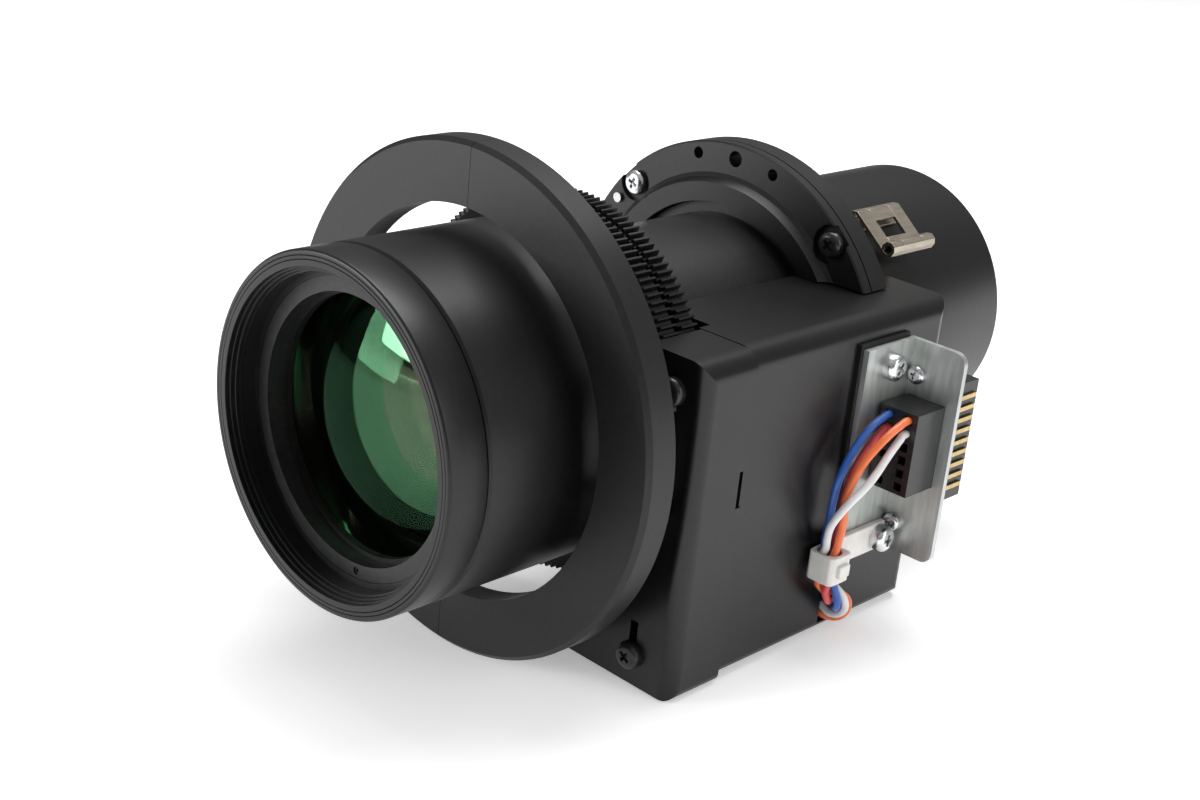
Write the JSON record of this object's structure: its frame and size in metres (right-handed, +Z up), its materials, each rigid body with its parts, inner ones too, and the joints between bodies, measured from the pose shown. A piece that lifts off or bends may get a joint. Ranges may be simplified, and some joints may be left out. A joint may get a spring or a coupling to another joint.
{
  "type": "projection lens",
  "caption": "Motorised zoom and focus projection lens: geared barrel, split ring, mounting flange, rear barrel, side drive box with connector bracket and cable",
  "frame": {"origin": "centre of the rear flange plate's rear mounting face, on the optical axis", "axes": "+X towards the drive box, +Y along the optical axis towards the rear end, +Z up; the front glass faces -Y"},
  "size_m": [0.111, 0.1695, 0.1],
  "materials": {
    "black_satin": "satin black anodised aluminium",
    "black_matte": "fine matte black moulded plastic",
    "gear_black": "matte black acetal",
    "grey_ring": "dark grey anodised, finely turned",
    "dark_metal": "dark anodised, dull",
    "bare_alu": "bare, machined",
    "zinc": "light zinc plate, slightly brushed",
    "nickel": "bright nickel plate",
    "black_screw": "black oxide",
    "latch_tan": "dull champagne, spring strip",
    "nylon_white": "natural white nylon",
    "pinion_cream": "cream acetal",
    "plug_black": "black glossy moulding",
    "contact_gold": "gold-plated contacts",
    "board_green": "solder mask",
    "insulator": "thin black sheet",
    "glass_front": "coated, green and magenta reflections",
    "glass_inner": "coated glass",
    "lead_blue": "blue PVC insulation",
    "lead_orange": "orange PVC insulation",
    "lead_red": "red PVC insulation",
    "lead_white": "white PVC insulation"
  },
  "bodies": {
    "lens_base": {"fixed_barrel": "dark_metal", "gear_stop_rings": "dark_metal", "flange_front_plate": "dark_metal", "flange_rear_plate": "dark_metal", "flange_screws": "nickel", "flange_black_screw": "black_screw", "flange_dowel": "bare_alu", "rear_barrel": "black_satin", "relay_cell": "dark_metal", "relay_glass": "glass_inner", "exit_glass": "glass_inner", "exit_trap_ring": "dark_metal", "rear_latch": "latch_tan", "ring_half_left": "black_matte", "ring_half_right": "black_matte", "ring_carrier": "bare_alu", "ring_posts": "black_matte", "drive_plate": "bare_alu", "focus_motor": "bare_alu", "zoom_motor": "bare_alu", "limit_switches": "plug_black", "wiring_board": "board_green", "front_cover": "black_matte", "side_cover": "black_matte", "cover_screws": "black_screw", "top_screw": "black_screw", "insulating_strip": "insulator", "connector_bracket": "zinc", "bracket_screws": "nickel", "spring_washers": "nickel", "connector_plug": "plug_black", "connector_socket": "plug_black", "contact_fingers": "contact_gold", "connector_screws": "nickel", "cable_clamp": "nylon_white", "lead_blue": "lead_blue", "lead_orange": "lead_orange", "lead_red": "lead_red", "lead_white": "lead_white"},
    "focus_ring": {"focus_gear_ring": "gear_black", "focus_dogs": "dark_metal"},
    "focus_barrel": {"front_hood": "black_satin", "front_barrel": "black_satin", "glass_trap_ring": "grey_ring", "trap_set_screw": "black_screw", "glass_seat_ring": "dark_metal", "front_glass": "glass_front", "glass_spacer": "dark_metal", "second_glass": "glass_inner"},
    "focus_drive": {"focus_pinion": "pinion_cream"},
    "zoom_ring": {"zoom_gear_ring": "gear_black", "zoom_cam_ring": "dark_metal", "zoom_keys": "bare_alu"},
    "front_zoom_group": {"front_zoom_cell": "dark_metal", "front_zoom_glass": "glass_inner", "front_cam_pins": "nickel"},
    "rear_zoom_group": {"rear_zoom_cell": "dark_metal", "rear_zoom_glass": "glass_inner", "rear_cam_pins": "nickel"},
    "zoom_drive": {"zoom_pinion": "pinion_cream"}
  },
  "joints": [
    {"name": "focus_ring_turn", "type": "hinge", "parent": "lens_base", "child": "focus_ring", "pos_m": [0, -0.06, 0], "axis": [0, -1, 0], "range_deg": [-34, 34]},
    {"name": "focus_barrel_travel", "type": "slide", "parent": "focus_ring", "child": "focus_barrel", "axis": [0, -1, 0], "range_m": [-0.0024, 0.0024]},
    {"name": "focus_pinion_turn", "type": "hinge", "parent": "lens_base", "child": "focus_drive", "pos_m": [0.03939, -0.05, 0.00982], "axis": [0, -1, 0], "range_deg": [-360, 360]},
    {"name": "zoom_ring_turn", "type": "hinge", "parent": "lens_base", "child": "zoom_ring", "pos_m": [0, -0.054, 0], "axis": [0, -1, 0], "range_deg": [-28, 28]},
    {"name": "front_group_travel", "type": "slide", "parent": "lens_base", "child": "front_zoom_group", "axis": [0, -1, 0], "range_m": [-0.0049, 0.0049]},
    {"name": "rear_group_travel", "type": "slide", "parent": "lens_base", "child": "rear_zoom_group", "axis": [0, -1, 0], "range_m": [-0.0079, 0.0079]},
    {"name": "zoom_pinion_turn", "type": "hinge", "parent": "lens_base", "child": "zoom_drive", "pos_m": [0.03516, -0.05, -0.0203], "axis": [0, -1, 0], "range_deg": [-297, 297]}
  ],
  "couplings": [
    {"joint": "focus_barrel_travel", "follows": "focus_ring_turn", "m_per_rad": 0.004},
    {"joint": "focus_pinion_turn", "follows": "focus_ring_turn", "ratio": -10.571},
    {"joint": "front_group_travel", "follows": "zoom_ring_turn", "m_per_rad": 0.01},
    {"joint": "rear_group_travel", "follows": "zoom_ring_turn", "m_per_rad": -0.016},
    {"joint": "zoom_pinion_turn", "follows": "zoom_ring_turn", "ratio": -10.571}
  ]
}
